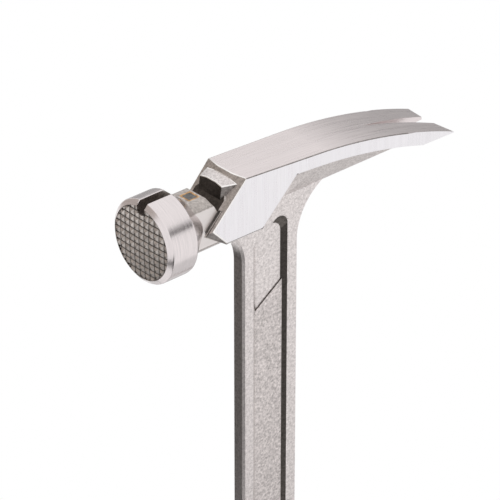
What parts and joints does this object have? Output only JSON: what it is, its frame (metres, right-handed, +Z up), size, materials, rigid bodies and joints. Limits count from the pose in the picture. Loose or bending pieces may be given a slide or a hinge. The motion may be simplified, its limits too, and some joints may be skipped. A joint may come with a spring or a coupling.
{
  "type": "framing hammer",
  "caption": "Framing hammer: one-piece steel forging with milled face, magnetic starter, straight rip claw and I-beam shank in a shock-damped soft grip.",
  "frame": {"origin": "centre of the flat butt of the grip, on the surface that the hammer stands on", "axes": "+Z up along the shank to the head, -X towards the striking face, +X towards the claw, Y across the shank"},
  "size_m": [0.1651, 0.0374, 0.3806],
  "materials": {
    "forged_steel": "forged, bead blasted and ground",
    "magnet_plating": "satin nickel plate",
    "amber_bond": "cast epoxy",
    "core_nylon": "glass-filled, matt",
    "zinc_steel": "zinc plate",
    "damper_rubber": "moulded",
    "sleeve_rubber": "moulded, fine grain",
    "pad_rubber": "moulded, ribbed",
    "trim_plastic": "moulded, satin"
  },
  "bodies": {
    "root": {"forged_body": "forged_steel", "starter_magnet": "magnet_plating", "magnet_bond": "amber_bond", "grip_core_left": "core_nylon", "grip_core_right": "core_nylon", "core_rivets": "zinc_steel", "damper_front": "damper_rubber", "damper_rear": "damper_rubber", "grip_sleeve": "sleeve_rubber", "palm_pad_left": "pad_rubber", "palm_pad_right": "pad_rubber", "grip_collar": "trim_plastic", "butt_cap": "trim_plastic", "cap_screws": "zinc_steel", "lanyard_eyelet": "zinc_steel"}
  },
  "joints": []
}
